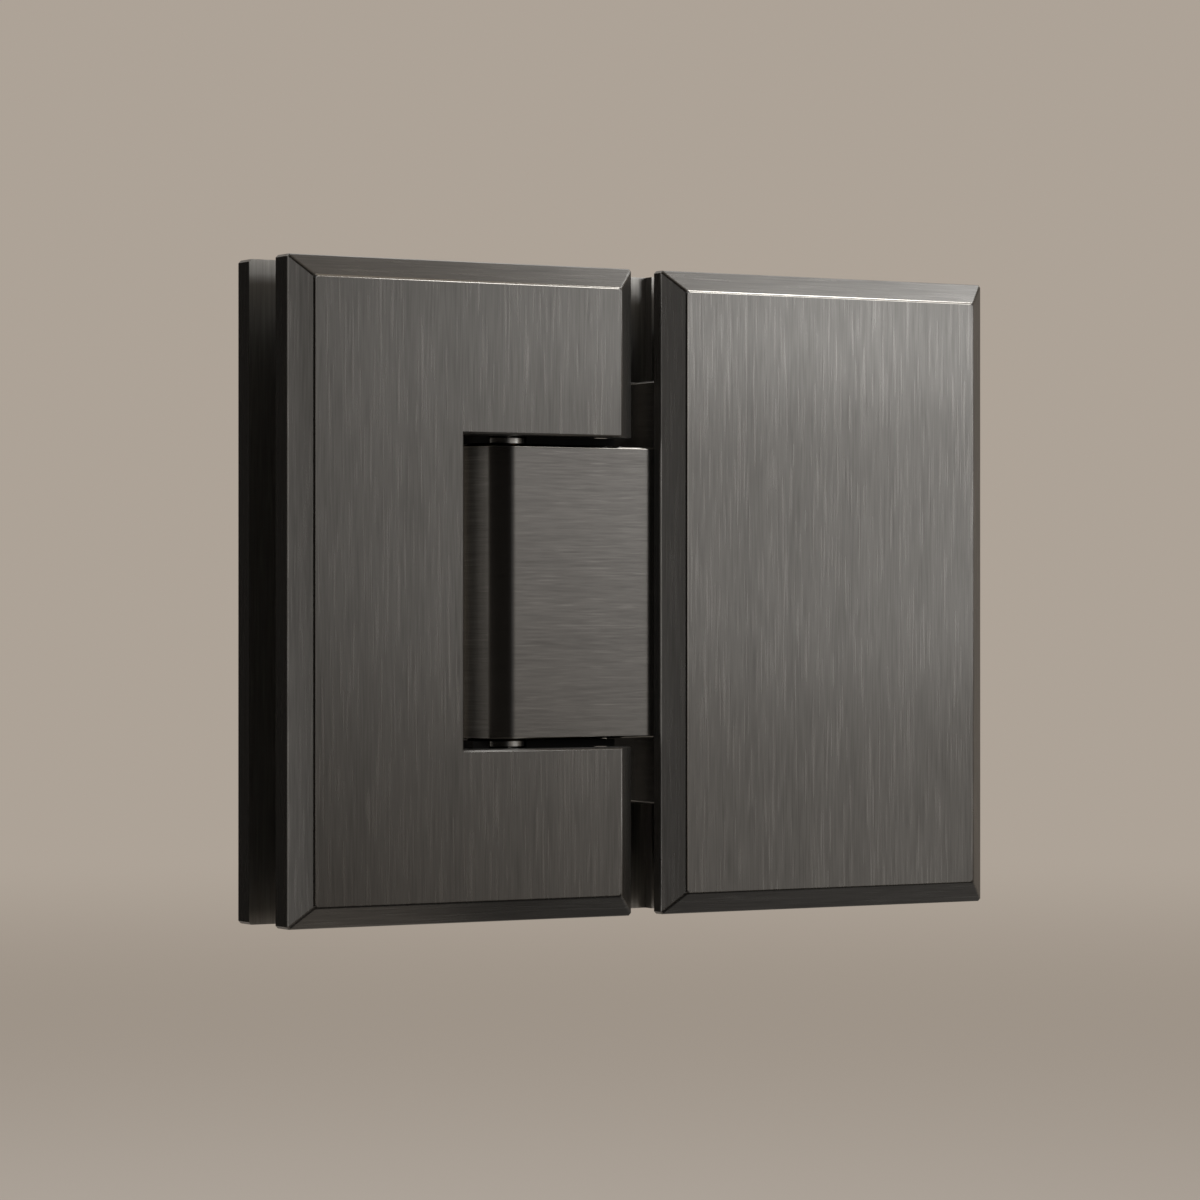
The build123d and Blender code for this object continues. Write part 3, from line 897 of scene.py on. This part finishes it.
class HINGE_OT_pin_parts(bpy.types.Operator):
    """Finish the pin, its washers, bushes and slide pads, the plungers and the springs"""

    bl_idname = "hinge.pin_parts"
    bl_label = "Pin, bearings and detents"

    def execute(self, context):
        finish = context.scene.hinge_finish
        # The washers' darker steel is painted shade
        painted_shade_washer_color = tuple(WASHER_PAINTED_SHADE * value for value in finish.steel_color)
        # The pads' near-black, dull nylon is partly painted shade in the slits
        nylon = plain("Black nylon", NYLON_PAINTED_SHADE_COLOR)
        shader = nylon.node_tree.nodes["Principled BSDF"]
        shader.inputs["Specular IOR Level"].default_value = DULL_SHINE
        dress_nodes(STEEL_NODES, plain("Ground steel", finish.steel_color))
        dress_nodes(WASHER_NODES, plain("Dark washer steel", painted_shade_washer_color))
        dress_nodes(PAD_NODES, nylon)
        dress_nodes(BUSH_NODES, plain("Sintered bronze", finish.bronze_color))
        dress_nodes(SPRING_NODES, plain("Spring wire", WIRE_COLOR))
        return {"FINISHED"}


class HINGE_OT_gaskets(bpy.types.Operator):
    """Finish the rubber gaskets"""

    bl_idname = "hinge.gaskets"
    bl_label = "Glass gaskets"

    def execute(self, context):
        dress_nodes(GASKET_NODES, plain("Gasket rubber", context.scene.hinge_finish.rubber_color))
        return {"FINISHED"}


# Stage

def around(azimuth, elevation, distance):
    """A point round the hinge: azimuth 0 is in front of it, 90 on its right."""
    a, e = math.radians(azimuth), math.radians(elevation)
    direction = (math.sin(a) * math.cos(e), -math.cos(a) * math.cos(e), math.sin(e))
    return Vector(direction) * distance


def make_softbox(name, place, width, height, radiance):
    """An area lamp that faces the hinge; its place is azimuth, elevation and distance."""
    lamp = bpy.data.lights.new(name, "AREA")
    lamp.shape = "RECTANGLE"
    lamp.size, lamp.size_y = (2 * place[2] * math.tan(math.radians(angle) / 2)
                              for angle in (width, height))
    lamp.energy = radiance * math.pi * lamp.size * lamp.size_y
    holder = new_object(name, lamp)
    holder.location = around(*place)
    holder.rotation_euler = (-holder.location).to_track_quat("-Z", "Y").to_euler()
    holder.visible_camera = False


def felt_material(name):
    """Dull felt in its own tone of grey."""
    material = bpy.data.materials.new(name)
    material.use_nodes = True
    shader, tone = material.node_tree.nodes["Principled BSDF"], FELT_TONES[name]
    shader.inputs["Base Color"].default_value = (tone, tone, tone, 1)
    shader.inputs["Roughness"].default_value = FELT_ROUGHNESS
    shader.inputs["Specular IOR Level"].default_value = DULL_SHINE
    return material


def make_panel(name, azimuths, near, far, felt, floor_height):
    """A felt panel round part of the hinge; only the hinge's gloss sees it."""
    mesh = bmesh.new()
    rows = []
    for step in range(PANEL_STEPS + 1):
        azimuth = azimuths[0] + (azimuths[1] - azimuths[0]) * step / PANEL_STEPS
        row = []
        for distance, height in (near, far):
            point = around(azimuth, 0, distance)
            point.z = floor_height if height is ON_FLOOR else height
            row.append(mesh.verts.new(point))
        rows.append(row)
    for left, right in zip(rows, rows[1:]):
        mesh.faces.new((left[0], left[1], right[1], right[0]))
    panel = new_object(name, finished_mesh(name, mesh))
    for ray in ("camera", "diffuse", "transmission", "volume_scatter", "shadow"):
        setattr(panel, "visible_" + ray, False)
    panel.data.materials.append(material_named(felt, lambda: felt_material(felt)))


def floor_material(studio):
    """Matt floor that fades into the room far away, and can't be seen from below."""
    material = bpy.data.materials.new("Pale floor")
    material.use_nodes = True
    tree = material.node_tree
    tree.nodes.remove(tree.nodes["Principled BSDF"])
    diffuse = add(tree, "ShaderNodeBsdfDiffuse")
    diffuse.inputs["Color"].default_value = (*studio.floor_color, 1)
    clear = add(tree, "ShaderNodeBsdfTransparent")
    coordinates = add(tree, "ShaderNodeTexCoord")
    length = add(tree, "ShaderNodeVectorMath", operation="LENGTH")
    link(tree, coordinates.outputs["Object"], length.inputs[0])
    fade = add(tree, "ShaderNodeMapRange", interpolation_type="SMOOTHSTEP")
    fade.inputs["From Min"].default_value = FLOOR_HALF * FADE_START
    fade.inputs["From Max"].default_value = FLOOR_HALF * FADE_END
    link(tree, length.outputs["Value"], fade.inputs["Value"])
    geometry = add(tree, "ShaderNodeNewGeometry")
    hidden = math_node(tree, "MAXIMUM", fade.outputs[0], geometry.outputs["Backfacing"])
    mix = add(tree, "ShaderNodeMixShader")
    link(tree, hidden, mix.inputs[0])
    link(tree, diffuse.outputs[0], mix.inputs[1])
    link(tree, clear.outputs[0], mix.inputs[2])
    link(tree, mix.outputs[0], tree.nodes["Material Output"].inputs["Surface"])
    return material


def make_floor(studio):
    """The pale floor under the hinge."""
    mesh = bmesh.new()
    bmesh.ops.create_grid(mesh, x_segments=2, y_segments=2, size=FLOOR_HALF)
    bmesh.ops.translate(mesh, verts=mesh.verts, vec=(0, 0, -studio.floor_drop))
    floor = new_object("studio_floor", finished_mesh("studio_floor", mesh))
    floor.data.materials.append(floor_material(studio))


def make_room(studio):
    """The even light of the room."""
    world = bpy.data.worlds.new("Room")
    world.use_nodes = True
    background = world.node_tree.nodes["Background"]
    background.inputs["Color"].default_value = (*studio.world_color, 1)
    background.inputs["Strength"].default_value = 1.0
    bpy.context.scene.world = world


def make_camera(studio):
    """The photograph's view: level, from the left and in front, on a long lens."""
    low = Vector(CAD_BOUNDS[0])
    yaw, pitch = studio.camera_yaw, CAMERA_PITCH
    forward = Vector((math.sin(yaw) * math.cos(pitch), math.cos(yaw) * math.cos(pitch),
                      math.sin(pitch)))
    target = Vector((low.x + LOOK_FROM_LEFT, low.y, -LOOK_DROP))
    data = bpy.data.cameras.new("Camera")
    data.lens = studio.camera_lens
    data.sensor_width = 36.0
    data.clip_start = 0.01
    camera = new_object("Camera", data)
    camera.location = target - forward * studio.camera_distance
    camera.rotation_euler = forward.to_track_quat("-Z", "Y").to_euler()
    bpy.context.scene.camera = camera


class HINGE_OT_stage(bpy.types.Operator):
    """Set up the floor, the lights, the felt panels, the room and the camera"""

    bl_idname = "hinge.stage"
    bl_label = "Studio"

    def execute(self, context):
        studio = context.scene.hinge_studio
        make_floor(studio)
        make_room(studio)
        for name, values in PANELS.items():
            make_panel(name, *values, -studio.floor_drop)
        for name, (place, width, height, radiance) in SOFTBOXES.items():
            make_softbox(name, place, width, height, radiance * studio.light_level)
        make_camera(studio)
        context.scene.view_settings.view_transform = "Standard"
        return {"FINISHED"}


STEPS = (HINGE_OT_cover_plates, HINGE_OT_blocks, HINGE_OT_screws, HINGE_OT_pin_parts,
         HINGE_OT_gaskets, HINGE_OT_stage)


class HINGE_PT_panel(bpy.types.Panel):
    """The hinge's settings and steps"""

    bl_idname = "HINGE_PT_panel"
    bl_label = "Shower door hinge"
    bl_space_type = "VIEW_3D"
    bl_region_type = "UI"
    bl_category = "Hinge"

    def draw(self, context):
        for group in (context.scene.hinge_finish, context.scene.hinge_studio):
            box = self.layout.box()
            for name in group.bl_rna.properties.keys():
                if name not in ("rna_type", "name"):
                    box.prop(group, name)
        for step in STEPS:
            self.layout.operator(step.bl_idname)


CLASSES = (HingeFinish, HingeStudio) + STEPS + (HINGE_PT_panel,)


def register():
    """Adds the hinge's classes and its settings on the scene."""
    for item in CLASSES:
        bpy.utils.register_class(item)
    bpy.types.Scene.hinge_finish = bpy.props.PointerProperty(type=HingeFinish)
    bpy.types.Scene.hinge_studio = bpy.props.PointerProperty(type=HingeStudio)


def unregister():
    """Takes away what register added."""
    del bpy.types.Scene.hinge_studio
    del bpy.types.Scene.hinge_finish
    for item in reversed(CLASSES):
        bpy.utils.unregister_class(item)


def main():
    """Runs every step in order."""
    register()
    for step in STEPS:
        group, operator = step.bl_idname.split(".")
        getattr(getattr(bpy.ops, group), operator)()


if __name__ == "__main__":
    main()
